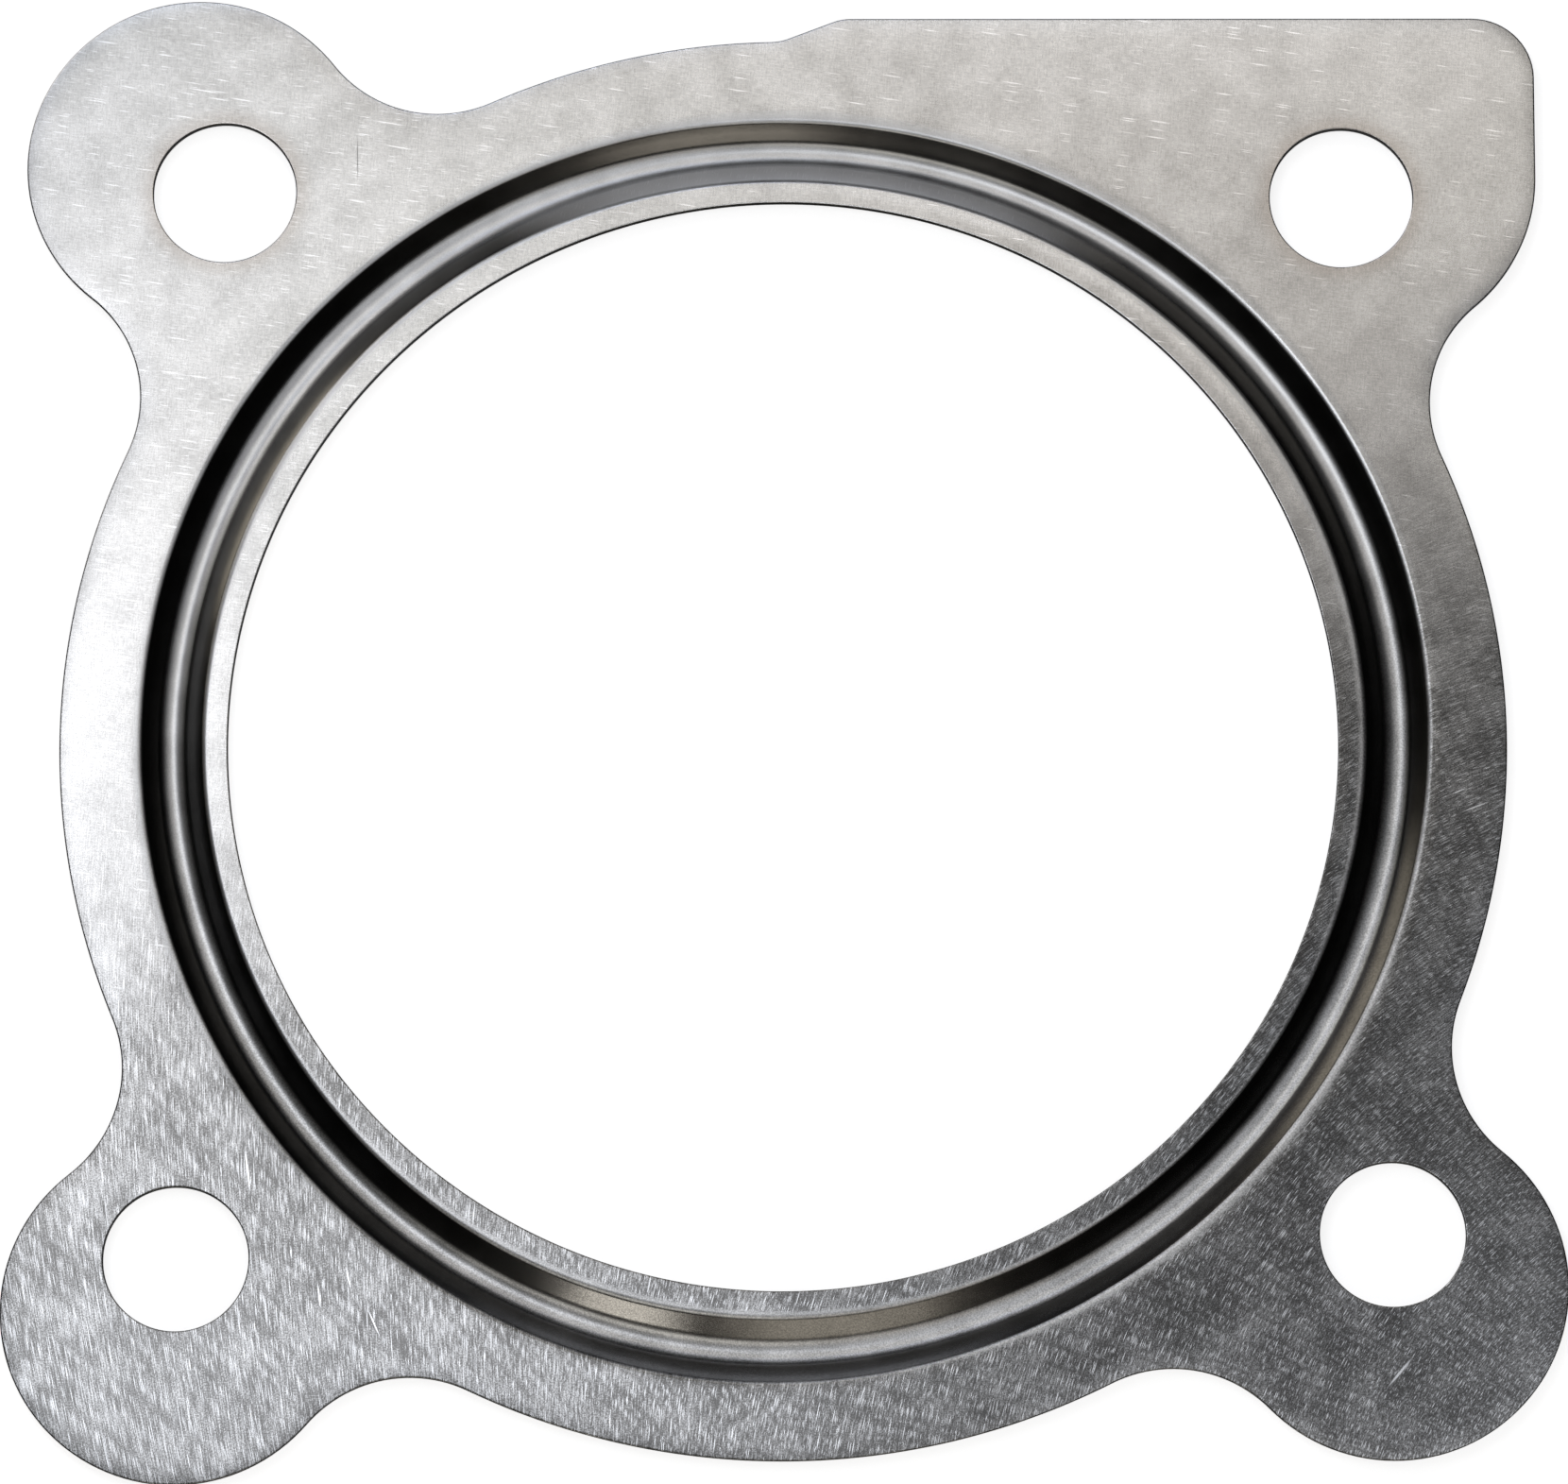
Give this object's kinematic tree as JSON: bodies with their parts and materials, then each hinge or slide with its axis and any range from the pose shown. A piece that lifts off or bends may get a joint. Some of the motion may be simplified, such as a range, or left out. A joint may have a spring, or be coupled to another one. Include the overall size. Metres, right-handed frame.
{
  "type": "exhaust gasket",
  "caption": "Flat stainless steel exhaust gasket with a large round bore, a pressed sealing bead round it and bolt ears at its corners, one of them squared.",
  "frame": {"origin": "on the axis of the gas bore, at the level of the bead's crest, which is what the gasket rests on", "axes": "+Z along the bore axis towards the face that carries the groove; +Y towards the ears whose holes lie level with the square corner; +X towards the square corner's side"},
  "size_m": [0.0967, 0.0943, 0.0018],
  "materials": {
    "stainless_sheet": "bright rolled stainless with fine random scratches"
  },
  "bodies": {
    "root": {"gasket": "stainless_sheet"}
  },
  "joints": []
}
